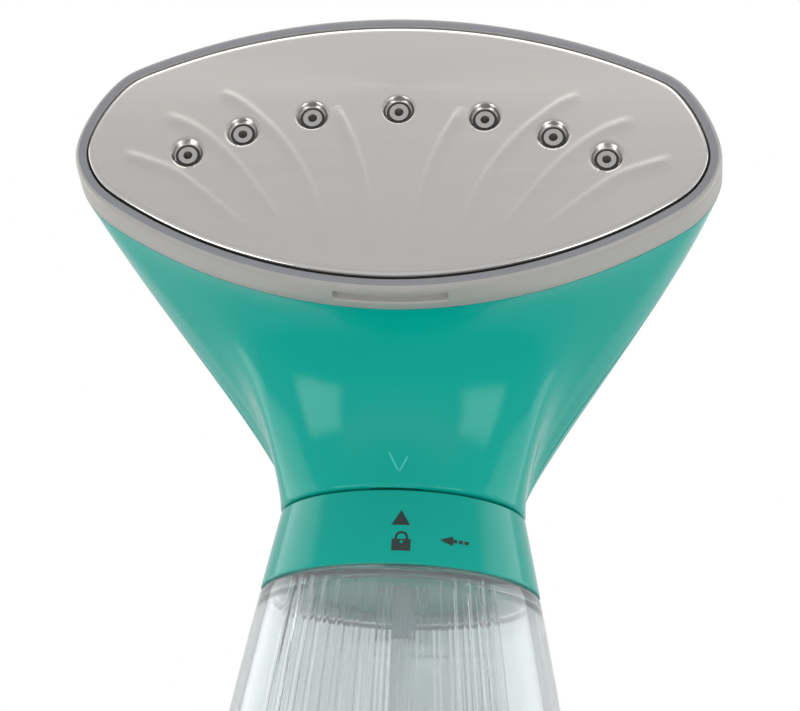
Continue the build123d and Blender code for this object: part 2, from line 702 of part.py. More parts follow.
def screw_holes():
    """Clearance for the handle screws."""
    holes = None
    for t in HANDLE_SCREWS_AT:
        frame = handle_frame(handle_path(), t)
        way = Plane(origin=frame.origin + frame.y_dir * HANDLE_HALF_D, x_dir=(1, 0, 0), z_dir=frame.y_dir * -1)
        hole = way * Pos(0, 0, -1) * Cylinder(2.9, 3.2, align=(Align.CENTER, Align.CENTER, Align.MIN))
        hole += way * Cylinder(1.35, 20.2, align=(Align.CENTER, Align.CENTER, Align.MIN))
        holes = hole if holes is None else holes + hole
    return holes


# ---------------------------------------------------------------- write the nodes
def write_head():
    front, rear = head_housings()
    save("front_housing", front)
    save("rear_housing", rear)
    save("bezel", bezel())
    save("steam_plate", steam_plate())
    save("plate_seal", plate_seal())
    save("steam_nozzles", *nozzle_inserts())
    save("nozzle_seals", *nozzle_rings())
    save("steam_chamber", steam_chamber())
    save("chamber_cover", chamber_cover())
    save("cover_screws", *cover_screws())
    save("heating_element", heating_element())
    save("thermostat", thermostat())
    save("thermal_fuse", thermal_fuse())


def write_water():
    save("pump_body", pump_body())
    save("pump_coil", pump_coil())
    save("inlet_hose", inlet_hose())
    save("outlet_hose", outlet_hose())
    save("tank_coupling", tank_coupling())
    save("coupling_seal", coupling_seal())
    save("intake_stub", intake_stub())
    save("dip_tube", dip_tube())
    save("intake_filter", intake_filter())
    save("lock_collar", lock_collar())
    save("tank_shell", tank_shell())
    save("tank_base", tank_base())
    save("base_pad", base_pad())


def write_handle():
    grip, shell = handle_parts(skin_solid(0, 0))
    grip = grip - trigger_slot() - trigger_pin_bar(PIN_R, 12.8) - screw_holes()
    hole = on_button(BUTTON_R + 0.4, -12, 4) + slider_recess()
    hole += lens_frame() * Pos(0, 0, -4) * Cylinder(1.95, 8)
    gland_hole = disc(8.5, 20, 32.4, y=GLAND_Y) + disc(5.7, 20, 38, y=GLAND_Y)
    shell = shell - hole - gland_hole - screw_holes()
    grip = grip - gland_hole
    save("handle_shell", biggest(shell))
    save("handle_grip", biggest(grip))
    save("trigger", trigger())
    save("trigger_pin", trigger_pin_bar(PIN_R, 12.7))
    save("trigger_spring", trigger_spring())
    save("microswitch", microswitch())
    save("circuit_board", circuit_board())
    save("power_button", power_button())
    save("button_dome", button_dome())
    save("indicator_lens", indicator_lens())
    save("steam_lock_slider", steam_lock_slider())
    save("cord_gland", cord_gland())
    save("handle_screws", *handle_screws())


os.makedirs("parts", exist_ok=True)
write_head()
write_water()
write_handle()
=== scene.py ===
import math

import bmesh
import bpy
from mathutils import Matrix, Vector


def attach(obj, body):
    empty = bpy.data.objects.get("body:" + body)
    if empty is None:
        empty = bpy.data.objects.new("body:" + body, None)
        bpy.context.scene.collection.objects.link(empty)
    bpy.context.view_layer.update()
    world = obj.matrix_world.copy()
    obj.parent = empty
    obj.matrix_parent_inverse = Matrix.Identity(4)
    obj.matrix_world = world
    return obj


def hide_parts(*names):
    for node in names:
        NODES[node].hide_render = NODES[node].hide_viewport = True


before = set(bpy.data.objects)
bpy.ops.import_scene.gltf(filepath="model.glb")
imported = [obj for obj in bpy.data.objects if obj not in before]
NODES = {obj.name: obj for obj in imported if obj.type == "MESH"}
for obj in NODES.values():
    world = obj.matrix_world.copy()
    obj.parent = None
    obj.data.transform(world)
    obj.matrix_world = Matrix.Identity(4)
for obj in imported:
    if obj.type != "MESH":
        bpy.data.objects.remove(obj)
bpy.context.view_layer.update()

# Handheld garment steamer on its clear tank. Shapes are given in millimetres and made in metres.
MM = 0.001

# ---- camera ----
AIM = Vector((-2.2, 0, 162.7)) * MM
CAMERA_DISTANCE = 924.3 * MM
CAMERA_AZIMUTH = math.radians(4.97)
CAMERA_ELEVATION = math.radians(-16.45)
CAMERA_ROLL = math.radians(2.2)
LENS_MM = 180.0
SENSOR_MM = 36.0

# ---- steam face: leans back; u right, v up, n out ----
LEAN = math.radians(10)
FACE_Y = -52.3
FACE_Z = 203.6
# right half of the plate's edge: corners from bottom to top, arcs between them
EDGE_POINTS = [(0, -41.5), (62.0, -21.8), (68.9, -10.2), (59.9, 7.1), (0, 21.4)]
EDGE_RADII = [111, 15.5, 34, 132]
EDGE_SAMPLES = [150, 42, 54, 120]
OUTLINE_STEPS = 220
CORNER_PASSES = 14
NOZZLES = [(0, 0), (19.15, -1.7), (34.4, -6.0), (46.3, -11.45)]
NOZZLES += [(-u, v) for u, v in NOZZLES[1:]]
# right-hand creases of the pressed shell, outer end to bottom centre
CREASES = [
    [(60.6, -10.8), (54.5, -12.8), (48.5, -15.4), (41.5, -20.8), (33.7, -27.8)],
    [(52.0, -1.0), (45.5, -3.7), (39.5, -8.3), (33.0, -15.4), (24.7, -27.1)],
    [(39.9, 5.1), (34.0, 1.8), (25.2, -6.9), (18.4, -17.9), (14.5, -29.0)],
    [(13.5, 1.3), (9.1, -8.0), (5.7, -19.0), (3.8, -32.0)],
]

# ---- head skin, as in the CAD ----
BEZEL_GROW = 3.0
BEZEL_DEPTH = 9.8
NECK_R = 28.0
SEAM = 124.0
RIM_POLE_V = -10.0
SKIN_WALL = 2.8
# by angle round the rim: leaving handle back, inward and down; arriving handle up and out; angle on the neck
SKIN_ROWS = {
    0: (15, 0, 0, 16, 0, 0),
    50: (17, 5, 3, 13, 5, 62),
    80: (25, 14, 14, 19, -3, 100),
    105: (39, -1, 21, 20, 5, 124),
    140: (44, 4, 3, 42, 3, 152),
    180: (60, -2, 0, 66, 0, 180),
}
SKIN_RINGS = 72
PARTING_GROOVE = 0.35

# ---- tank ----
TANK_TOP = 105.2
TANK_LINE = [(31.8, TANK_TOP), (37.4, 78.0), (42.6, 48.0), (45.6, 16.0)]
TANK_WALL = 1.8
TANK_WALL_FOOT = 16.0
TANK_FLOOR = 7.6
TANK_UNDERSIDE = 5.6
TANK_SEGMENTS = 720
MOUTH_IN_R = 27.2
MOUTH_OUT_R = 28.5
MOUTH_TOP = 111.0
MOUTH_FOOT = 105.6
FLUTE_HALF_ANGLE = math.radians(46)
FLUTE_COUNT = 15
FLUTE_DEPTH = 0.42
FLUTED_OVER_R = 30
FLUTE_LOW = 18
FLUTE_HIGH = TANK_TOP - 1.0


# ---------------------------------------------------------------- materials
def new_material(name):
    """Material with its node tree and its Principled shader."""
    mat = bpy.data.materials.new(name)
    mat.use_nodes = True
    nodes, links = mat.node_tree.nodes, mat.node_tree.links
    return mat, nodes, links, nodes["Principled BSDF"]


def object_space(nodes, links, stretch=(1, 1, 1)):
    """Object coordinates, stretched."""
    where = nodes.new("ShaderNodeTexCoord")
    mapping = nodes.new("ShaderNodeMapping")
    mapping.inputs["Scale"].default_value = stretch
    links.new(where.outputs["Object"], mapping.inputs["Vector"])
    return mapping.outputs["Vector"]


def noise(nodes, links, vector, scale, detail=3.0, rough=0.5):
    """Noise value over a vector."""
    tex = nodes.new("ShaderNodeTexNoise")
    tex.inputs["Scale"].default_value = scale
    tex.inputs["Detail"].default_value = detail
    tex.inputs["Roughness"].default_value = rough
    links.new(vector, tex.inputs["Vector"])
    return tex.outputs["Fac"]


def vary_color(nodes, links, bsdf, fac, low, high):
    """Base colour between two tones."""
    ramp = nodes.new("ShaderNodeValToRGB")
    ramp.color_ramp.elements[0].position = 0.3
    ramp.color_ramp.elements[1].position = 0.7
    ramp.color_ramp.elements[0].color = (*low, 1)
    ramp.color_ramp.elements[1].color = (*high, 1)
    links.new(fac, ramp.inputs["Fac"])
    links.new(ramp.outputs["Color"], bsdf.inputs["Base Color"])


def ranged(nodes, links, value, low, high, to_low, to_high):
    """Value mapped from one range to another."""
    span = nodes.new("ShaderNodeMapRange")
    span.inputs["From Min"].default_value = low
    span.inputs["From Max"].default_value = high
    span.inputs["To Min"].default_value = to_low
    span.inputs["To Max"].default_value = to_high
    links.new(value, span.inputs["Value"])
    return span.outputs["Result"]


def combined(nodes, links, operation, first, second):
    """Result of a math node on two values."""
    math_node = nodes.new("ShaderNodeMath")
    math_node.operation = operation
    links.new(first, math_node.inputs[0])
    links.new(second, math_node.inputs[1])
    return math_node.outputs["Value"]


def vary_rough(nodes, links, bsdf, fac, low, high):
    """Roughness between two values."""
    links.new(ranged(nodes, links, fac, 0.3, 0.7, low, high), bsdf.inputs["Roughness"])


def add_bump(nodes, links, bsdf, fac, strength, distance):
    """Fine surface relief."""
    bump = nodes.new("ShaderNodeBump")
    bump.inputs["Strength"].default_value = strength
    bump.inputs["Distance"].default_value = distance
    links.new(fac, bump.inputs["Height"])
    links.new(bump.outputs["Normal"], bsdf.inputs["Normal"])


def shade(color, factor):
    """Colour made lighter or darker."""
    return tuple(min(1.0, c * factor) for c in color)


def moulded(name, color, rough=(0.2, 0.27), spread=0.03, grain=0.03, specular=0.5, metal=0.0):
    """Moulded plastic, rubber or cast metal: slight tone drift, gloss drift and a fine grain."""
    mat, nodes, links, bsdf = new_material(name)
    here = object_space(nodes, links)
    broad = noise(nodes, links, here, 22.0)
    fine = noise(nodes, links, here, 2400.0, 2.0)
    vary_color(nodes, links, bsdf, broad, shade(color, 1 - spread), shade(color, 1 + spread))
    vary_rough(nodes, links, bsdf, noise(nodes, links, here, 90.0), *rough)
    add_bump(nodes, links, bsdf, fine, grain, 0.00005)
    bsdf.inputs["Metallic"].default_value = metal
    bsdf.inputs["Specular IOR Level"].default_value = specular
    return mat


def brushed(name, color, rough, depth=0.12):
    """Brushed metal with long fine scratches along X."""
    mat, nodes, links, bsdf = new_material(name)
    along = object_space(nodes, links, (1.2, 900.0, 900.0))
    lines = noise(nodes, links, along, 14.0, 4.0, 0.6)
    vary_color(nodes, links, bsdf, lines, shade(color, 0.96), shade(color, 1.04))
    vary_rough(nodes, links, bsdf, lines, *rough)
    add_bump(nodes, links, bsdf, lines, depth, 0.00003)
    bsdf.inputs["Metallic"].default_value = 1.0
    bsdf.inputs["Anisotropic"].default_value = 0.35
    return mat


def clear_plastic(name, color, ior, rough, clear=1.0):
    """Clear or slightly milky moulded plastic with faint flow marks."""
    mat, nodes, links, bsdf = new_material(name)
    here = object_space(nodes, links, (1, 1, 0.15))
    flow = noise(nodes, links, here, 60.0)
    vary_color(nodes, links, bsdf, flow, shade(color, 0.985), color)
    vary_rough(nodes, links, bsdf, flow, *rough)
    bsdf.inputs["Transmission Weight"].default_value = clear
    bsdf.inputs["IOR"].default_value = ior
    return mat


def wound_copper(name):
    """Varnished copper winding: bands round the coil."""
    mat, nodes, links, bsdf = new_material(name)
    wave = nodes.new("ShaderNodeTexWave")
    wave.bands_direction = "Z"
    wave.inputs["Scale"].default_value = 900.0
    links.new(object_space(nodes, links), wave.inputs["Vector"])
    vary_color(nodes, links, bsdf, wave.outputs["Fac"], (0.25, 0.08, 0.02), (0.6, 0.25, 0.08))
    add_bump(nodes, links, bsdf, wave.outputs["Fac"], 0.5, 0.0002)
    bsdf.inputs["Metallic"].default_value = 0.8
    bsdf.inputs["Roughness"].default_value = 0.35
    return mat


TEAL = (0.0, 0.338, 0.275)
MATS = {
    "teal": moulded("teal_gloss", TEAL, rough=(0.15, 0.19), spread=0.012, grain=0.012, specular=0.17),
    "ink": moulded("black_ink", (0.006, 0.02, 0.018), rough=(0.4, 0.5)),
    "teal_mark": moulded("teal_mark", (0.03, 0.50, 0.43), rough=(0.3, 0.4)),
    "grey": moulded("grey_satin", (0.335, 0.325, 0.31), rough=(0.33, 0.4), spread=0.02, grain=0.04),
    # darker copy of the rim grey for the rim's forward-facing faces: painted shade, not a second colour
    "grey_painted_shade": moulded("grey_satin_painted_shade", (0.205, 0.212, 0.228), rough=(0.33, 0.4), spread=0.02,
                          grain=0.04),
    "pale": moulded("pale_satin", (0.80, 0.795, 0.775), rough=(0.38, 0.46), grain=0.06),
    "steel": brushed("brushed_steel", (0.46, 0.441, 0.425), (0.30, 0.38)),
    "polished": brushed("polished_edge", (0.56, 0.555, 0.55), (0.14, 0.20), depth=0.02),
    "nozzle": moulded("nozzle_grey", (0.34, 0.33, 0.325), rough=(0.3, 0.38), metal=0.6),
    "black": moulded("black_rubber", (0.012, 0.012, 0.013), rough=(0.5, 0.6)),
    "cast": moulded("cast_metal", (0.5, 0.5, 0.5), rough=(0.5, 0.65), spread=0.08, grain=0.4, metal=1.0),
    "screw": brushed("screw_steel", (0.5, 0.5, 0.5), (0.25, 0.35)),
    "heater": brushed("heater_sheath", (0.2, 0.19, 0.17), (0.4, 0.5)),
    "electric": moulded("electric_plastic", (0.03, 0.03, 0.03), rough=(0.4, 0.5)),
    "copper": wound_copper("wound_copper"),
    "silicone": moulded("milky_silicone", (0.72, 0.74, 0.74), rough=(0.3, 0.4)),
    "dark": moulded("dark_plastic", (0.05, 0.07, 0.08), rough=(0.3, 0.4)),
    "smoke": moulded("smoke_plastic", (0.30, 0.36, 0.38), rough=(0.3, 0.4)),
    "board": moulded("board_green", (0.01, 0.09, 0.04), rough=(0.3, 0.4), spread=0.1),
    "lens": moulded("lamp_lens", (0.75, 0.10, 0.05), rough=(0.1, 0.15)),
    "tank": clear_plastic("clear_tank", (0.86, 0.905, 0.91), 1.42, (0.04, 0.07), clear=0.89),
}


# ---------------------------------------------------------------- meshes
def add_object(name, data):
    """Object for a mesh, light or camera, linked to the scene."""
    made = bpy.data.objects.new(name, data)
    bpy.context.scene.collection.objects.link(made)
    return made


def closed_mesh(name, verts, faces, merge=False):
    """Mesh from points in millimetres, its faces turned outward; merge joins doubled points."""
    mesh = bpy.data.meshes.new(name)
    mesh.from_pydata([Vector(v) * MM for v in verts], [], faces)
    bm = bmesh.new()
    if merge:
        mesh.validate()
    bm.from_mesh(mesh)
    if merge:
        bmesh.ops.remove_doubles(bm, verts=bm.verts, dist=0.000001)
    bmesh.ops.recalc_face_normals(bm, faces=bm.faces)
    bm.to_mesh(mesh)
    bm.free()
    return mesh


def make_piece(name, verts, faces, look, body, stands_for=(), sharp=35):
    """Smooth-shaded mesh object in millimetres, riding on a body."""
    mesh = closed_mesh(name, verts, faces, merge=True)
    mesh.shade_smooth()
    mesh.set_sharp_from_angle(angle=math.radians(sharp))
    mesh.materials.append(MATS[look])
    piece = add_object(name, mesh)
    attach(piece, body)
    if stands_for:
        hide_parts(*stands_for)
    return piece


def lattice(rings, wrap_rings, wrap_points):
    """Vertices and quads of a grid given as rows of points."""
    rows, cols = len(rings), len(rings[0])
    verts = [p for ring in rings for p in ring]
    faces = []
    for i in range(rows if wrap_rings else rows - 1):
        for j in range(cols if wrap_points else cols - 1):
            a, b = i * cols + j, i * cols + (j + 1) % cols
            c, d = ((i + 1) % rows) * cols + (j + 1) % cols, ((i + 1) % rows) * cols + j
            faces.append((a, b, c, d))
    return verts, faces


def lathe(profile, segments, radius_at):
    """Turned solid from (radius, height) rows; radius_at may ripple a row."""
    rings = []
    for r, z in profile:
        ring = []
        for k in range(segments):
            a = 2 * math.pi * k / segments
            wall = radius_at(r, z, a)
            ring.append((wall * math.sin(a), -wall * math.cos(a), z))
        rings.append(ring)
    return lattice(rings, False, True)


def arc_centre(p, q, radius):
    """Centre of the edge arc from p to q."""
    du, dv = q[0] - p[0], q[1] - p[1]
    chord = math.hypot(du, dv)
    drop = math.sqrt(radius ** 2 - chord ** 2 / 4)
    return (p[0] + q[0]) / 2 - dv / chord * drop, (p[1] + q[1]) / 2 + du / chord * drop


def drawn_edge():
    """Right half of the plate edge as drawn, bottom centre to top centre."""
    points = []
    for p, q, radius, count in zip(EDGE_POINTS, EDGE_POINTS[1:], EDGE_RADII, EDGE_SAMPLES):
        cu, cv = arc_centre(p, q, radius)
        start = math.atan2(p[1] - cv, p[0] - cu)
        turn = (math.atan2(q[1] - cv, q[0] - cu) - start) % (2 * math.pi)
        points += [Vector((cu + radius * math.cos(start + turn * i / count),
                           cv + radius * math.sin(start + turn * i / count))) for i in range(count)]
    points[0] = Vector(EDGE_POINTS[0])
    return points + [Vector(EDGE_POINTS[-1])]


def even_points(line, count):
    """Points at equal steps along a line, ends included."""
    lengths = [0.0]
    for a, b in zip(line, line[1:]):
        lengths.append(lengths[-1] + (b - a).length)
    points, k = [], 0
    for i in range(count + 1):
        want = lengths[-1] * i / count
        while k < len(line) - 2 and lengths[k + 1] < want:
            k += 1
        points.append(line[k].lerp(line[k + 1], (want - lengths[k]) / (lengths[k + 1] - lengths[k])))
    return points


def eased_outline():
    """Whole plate edge with its corners eased: points and outward normals."""
    half = even_points(drawn_edge(), OUTLINE_STEPS)
    loop = half + [Vector((-p.x, p.y)) for p in reversed(half[1:-1])]
    size = len(loop)
    for _ in range(CORNER_PASSES):
        loop = [(loop[i - 1] + 2 * loop[i] + loop[(i + 1) % size]) / 4 for i in range(size)]
    normals = []
    for i in range(size):
        along = (loop[(i + 1) % size] - loop[i - 1]).normalized()
        normals.append(Vector((along.y, -along.x)))
    return loop, normals


OUTLINE, OUTLINE_NORMALS = eased_outline()


def rim_loop(grow):
    """Whole edge moved outward, as (u, v) points from the bottom centre round the right side."""
    return [(p.x + n.x * grow, p.y + n.y * grow) for p, n in zip(OUTLINE, OUTLINE_NORMALS)]


def rim_half(grow):
    """Right half of the edge, bottom centre to top centre."""
    return rim_loop(grow)[:OUTLINE_STEPS + 1]


def on_face(u, v, n):
    """Steam-face coordinates to millimetres in the frame."""
    y = FACE_Y + v * math.sin(LEAN) - n * math.cos(LEAN)
    z = FACE_Z + v * math.cos(LEAN) + n * math.sin(LEAN)
    return (u, y, z)


# ---------------------------------------------------------------- steam plate
FIELD_N = 0.55
RIM_BAND = 1.3
POLISHED_BAND = 0.9
# (distance in from the edge, height) of the rolled edge
BEAD_ROWS = [(0.0, -1.2), (0.0, -0.5), (0.02, -0.1), (0.09, 0.12), (0.2, 0.28), (0.36, 0.41), (0.58, 0.5),
             (0.85, 0.545), (RIM_BAND, FIELD_N)]
FIELD_RINGS = 200
EASE_RINGS = 5.0
FIELD_POLE = (0.0, -9.0)
PIT_R = 1.55
PIT_FLOOR = -3.9
DISH_DEPTH = 1.29
DISH_FLOOR_R = 2.82
DISH_R = 3.65
DISH_RAISE = 0.25
CREASE_EDGE = 0.22
CREASE_REACH = 2.2
CREASE_RISE = 0.13
CREASE_CUTOFF = math.sqrt(60)
TRAY_FOOT = -5.0
TRAY_UNDERSIDE = -5.2
TRAY_LEDGE = -1.9
TRAY_WALL = 1.1


def smooth_line(points, steps=14):
    """Catmull-Rom line through points."""
    pts = [points[0]] + list(points) + [points[-1]]
    line = []
    for i in range(1, len(pts) - 2):
        p0, p1, p2, p3 = (Vector(p) for p in pts[i - 1:i + 3])
        for k in range(steps):
            t = k / steps
            line.append(0.5 * (2 * p1 + (p2 - p0) * t + (2 * p0 - 5 * p1 + 4 * p2 - p3) * t * t
                               + (3 * p1 - p0 - 3 * p2 + p3) * t ** 3))
    return line + [Vector(points[-1])]


CREASE_LINES = [smooth_line([(s * u, v) for u, v in crease]) for crease in CREASES for s in (1, -1)]


def nearest_on(line, here):
    """Index of a line's nearest point to a place, and its distance."""
    gaps = [(p - here).length_squared for p in line]
    gap = min(gaps)
    return gaps.index(gap), math.sqrt(gap)


def crease_height(u, v):
    """Relief of the pressed folds: a small sharp rise that falls away on the outer side."""
    here = Vector((u, v))
    total = 0.0
    for k, line in enumerate(CREASE_LINES):
        near, gap = nearest_on(line, here)
        if gap > CREASE_CUTOFF:
            continue
        a, b = line[max(near - 1, 0)], line[min(near + 1, len(line) - 1)]
        along = (b - a).normalized()
        away = here - line[near]
        across = (along.x * away.y - along.y * away.x) * (-1 if k % 2 else 1)
        past_end = abs(along.dot(away)) if near in (0, len(line) - 1) else 0.0
        t = near / (len(line) - 1)
        fade = min(1.0, t / 0.12) * (1.0 - 0.8 * t) * math.exp(-(past_end / 2.0) ** 2)
        step = 1 / (1 + math.exp(-max(-30.0, min(30.0, across / CREASE_EDGE))))
        total += CREASE_RISE * fade * step * math.exp(-(across / CREASE_REACH) ** 2)
    return total


def dish_height(u, v):
    """Relief of the seven round dishes, one round each nozzle, a little wider above it."""
    total = 0.0
    for a, b in NOZZLES:
        r = math.hypot(u - a, v - b)
        edge = DISH_R + DISH_RAISE * (v - b) / max(r, 0.1)
        if r < edge:
            slope = max(0.0, (r - DISH_FLOOR_R) / (edge - DISH_FLOOR_R))
            total -= DISH_DEPTH * 0.5 * (1 + math.cos(math.pi * slope))
    return total


def plate_height(u, v):
    """Height of the pressed plate's front inside the rim."""
    pit = any(math.hypot(u - a, v - b) < PIT_R for a, b in NOZZLES)
    return PIT_FLOOR if pit else FIELD_N + crease_height(u, v) + dish_height(u, v)


def field_ring(edge, k):
    """Ring k of the plate's field, on its way in from the edge to the pole."""
    share = 1 - k / FIELD_RINGS
    blend = min(1.0, k / EASE_RINGS)
    ring = []
    for u, v in edge:
        x, y = FIELD_POLE[0] + (u - FIELD_POLE[0]) * share, FIELD_POLE[1] + (v - FIELD_POLE[1]) * share
        ring.append(on_face(x, y, FIELD_N + (plate_height(x, y) - FIELD_N) * blend))
    return ring


def make_plate():
    """Pressed steel tray: rolled edge, shell creases, dishes, turned-back wall."""
    front = [[on_face(u, v, n) for u, v in rim_loop(-s)] for s, n in BEAD_ROWS]
    edge = rim_loop(-RIM_BAND)
    front += [field_ring(edge, k) for k in range(1, FIELD_RINGS)]
    tray = ((0, TRAY_FOOT), (TRAY_WALL, TRAY_FOOT), (TRAY_WALL, TRAY_LEDGE), (RIM_BAND + 2, TRAY_UNDERSIDE))
    back = [[on_face(u, v, n) for u, v in rim_loop(-s)] for s, n in tray]
    rings = list(reversed(front)) + back
    verts, faces = lattice(rings, False, True)
    cols = len(edge)
    for start, n in ((0, FIELD_N), ((len(rings) - 1) * cols, TRAY_UNDERSIDE)):
        tip = len(verts)
        verts.append(on_face(*FIELD_POLE, n))
        faces += [(start + j, start + (j + 1) % cols, tip) for j in range(cols)]
    plate = make_piece("steam_plate_pressed", verts, faces, "steel", "head", ("steam_plate",),
                       sharp=50)
    plate.data.materials.append(MATS["polished"])
    for face in plate.data.polygons:
        u, v = face.center.x / MM, (face.center.z / MM - FACE_Z) / math.cos(LEAN)
        face.material_index = 1 if edge_distance(u, v) < POLISHED_BAND else 0


def edge_distance(u, v):
    """Rough distance from the plate edge, in millimetres."""
    here = Vector((abs(u), v))
    return min((p - here).length for p in OUTLINE[:OUTLINE_STEPS + 1:2])


def make_seal():
    """Thin black seal between plate and rim."""
    profile = [(0.03, -1.5), (0.33, -1.5), (0.33, -6.0), (0.03, -6.0)]
    rings = [[on_face(u, v, n) for u, v in rim_loop(grow)] for grow, n in profile]
    verts, faces = lattice(rings, True, True)
    make_piece("plate_seal_ring", verts, faces, "black", "head", ("plate_seal",), sharp=40)


# ---------------------------------------------------------------- head housings
def skin_row(angle):
    """Skin controls at a rim angle."""
    keys = sorted(SKIN_ROWS)
    i = max(k for k in range(len(keys) - 1) if keys[k] <= angle)
    a, b = keys[i], keys[i + 1]
    s = (angle - a) / (b - a)
    values = []
    for c in range(6):
        ya, yb = SKIN_ROWS[a][c], SKIN_ROWS[b][c]
        slope_a = 0 if i == 0 and c < 5 else row_slope(keys, i, c)
        slope_b = 0 if i + 2 == len(keys) and c < 5 else row_slope(keys, i + 1, c)
        values.append(ya * (1 + 2 * s) * (1 - s) ** 2 + yb * s * s * (3 - 2 * s)
                      + (b - a) * (slope_a * s * (1 - s) ** 2 - slope_b * s * s * (1 - s)))
    return values


def row_slope(keys, i, column):
    """Slope of one skin control at key i."""
    low, high = max(i - 1, 0), min(i + 1, len(keys) - 1)
    return (SKIN_ROWS[keys[high]][column] - SKIN_ROWS[keys[low]][column]) / (keys[high] - keys[low])


def skin_columns(inset):
    """Right half of the head skin: one column of points per rim point."""
    columns = []
    for u, v in rim_half(BEZEL_GROW - inset):
        angle = math.degrees(math.atan2(u, RIM_POLE_V - v)) if u else (0 if v < 0 else 180)
        back, inward, down, up, out, neck = skin_row(angle)
        reach = math.hypot(u, v - RIM_POLE_V)
        rim = Vector(on_face(u, v, -BEZEL_DEPTH))
        leave = Vector(on_face(u - u / reach * inward, v - (v - RIM_POLE_V) / reach * inward - down,
                               -BEZEL_DEPTH - back))
        side = Vector((math.sin(math.radians(neck)), -math.cos(math.radians(neck)), 0))
        foot = side * (NECK_R - inset) + Vector((0, 0, SEAM))
        arrive = foot + side * out + Vector((0, 0, up))
        column = []
        for k in range(SKIN_RINGS + 1):
            t = k / SKIN_RINGS
            w = 1 - t
            column.append(rim * w ** 3 + leave * (3 * w * w * t) + arrive * (3 * w * t * t) + foot * t ** 3)
        columns.append(column)
    return columns


def mirror_column(column):
    """The same column on the left side."""
    return [Vector((-p.x, p.y, p.z)) for p in column]


def column_near(corner):
    """Skin column nearest to a corner of the edge."""
    return min(range(OUTLINE_STEPS), key=lambda i: (OUTLINE[i] - Vector(corner)).length)


def soften_ends(outer, inner, first, last):
    """Pull the outer skin in a little at its two side edges, so that the parting shows as a fine groove."""
    share = PARTING_GROOVE / SKIN_WALL
    for index in (first, last):
        outer[index] = [p + (q - p) * share for p, q in zip(outer[index], inner[index])]


def make_housing(name, node, first, last):
    """One housing: a closed shell over a range of skin columns, mirrored to the left side."""
    outer, inner = skin_columns(0), skin_columns(SKIN_WALL)
    outer, inner = outer[first:last + 1], inner[first:last + 1]
    if first == 0:
        outer = [mirror_column(c) for c in reversed(outer[1:])] + outer
        inner = [mirror_column(c) for c in reversed(inner[1:])] + inner
    else:
        outer = outer + [mirror_column(c) for c in reversed(outer[:-1])]
        inner = inner + [mirror_column(c) for c in reversed(inner[:-1])]
    soften_ends(outer, inner, 0, len(outer) - 1)
    for column, lining in zip(outer, inner):
        column[-1] = column[-1] + (lining[-1] - column[-1]) * (PARTING_GROOVE / SKIN_WALL)
    rows = [column + list(reversed(lining)) for column, lining in zip(outer, inner)]
    verts, faces = lattice(rows, False, True)
    width, half = len(rows[0]), len(outer[0])
    for start in (0, (len(rows) - 1) * width):
        for k in range(half - 1):
            faces.append((start + k, start + k + 1, start + width - 2 - k, start + width - 1 - k))
    make_piece(name, verts, faces, "teal", "head", (node,), sharp=60)


# ---------------------------------------------------------------- bezel
# (distance out from the plate's edge, height) round the rim's section
BEZEL_PROFILE = [(0.36, -0.5), (0.42, -0.2), (0.62, 0.0), (1.75, 0.0), (2.1, -0.08), (2.42, -0.27),
                 (2.68, -0.56), (2.87, -0.92), (2.97, -1.35), (3.0, -1.8), (3.0, -5.0), (3.0, -9.5),
                 (2.86, -9.75), (2.6, -BEZEL_DEPTH), (-4.0, -BEZEL_DEPTH), (-4.0, -7.8), (0.36, -7.8),
                 (0.36, -5.0)]
SLOT_HALF_WIDTH = 12.4
SLOT_FRONT = -2.8
SLOT_BACK = -6.5
SLOT_DEPTH = 1.5
SLOT_CORNER = 0.8
SLOT_FLARE = 0.28


def make_bezel():
    """Grey rim with a bevelled front and the brush slot; its forward-facing faces get a darker copy of the
    grey as painted shade.
    """
    rings = [[on_face(u, v, n) for u, v in rim_loop(grow)] for grow, n in BEZEL_PROFILE]
    verts, faces = lattice(rings, True, True)
    rim = make_piece("bezel_rim", verts, faces, "grey", "head", ("bezel",), sharp=40)
    rim.data.materials.append(MATS["grey_painted_shade"])
    forward = (Vector(on_face(0, 0, 1)) - Vector(on_face(0, 0, 0))).normalized()
    # faces turned forward get the darker grey: painted shade on the front ring
    for face in rim.data.polygons:
        face.material_index = 1 if face.normal.dot(forward) > 0.95 else 0
    cut = slot_cutter()
    boolean = rim.modifiers.new("slot", "BOOLEAN")
    boolean.operation = "DIFFERENCE"
    boolean.solver = "EXACT"
    boolean.object = cut
    depsgraph = bpy.context.evaluated_depsgraph_get()
    cut_rim = bpy.data.meshes.new_from_object(rim.evaluated_get(depsgraph))
    rim.modifiers.clear()
    rim.data = cut_rim
    cut_rim.set_sharp_from_angle(angle=math.radians(40))
    bpy.data.objects.remove(cut)


def slot_stations():
    """Places along the brush slot, and how far its edges are rounded in at each."""
    straight = SLOT_HALF_WIDTH - SLOT_CORNER
    turns = [math.pi / 2 * k / 5 for k in range(1, 6)]
    right = [(straight + SLOT_CORNER * math.sin(a), SLOT_CORNER * (1 - math.cos(a))) for a in turns]
    left = [(-u, rounded) for u, rounded in reversed(right)]
    return left + [(straight * k / 24, 0) for k in range(-24, 25)] + right


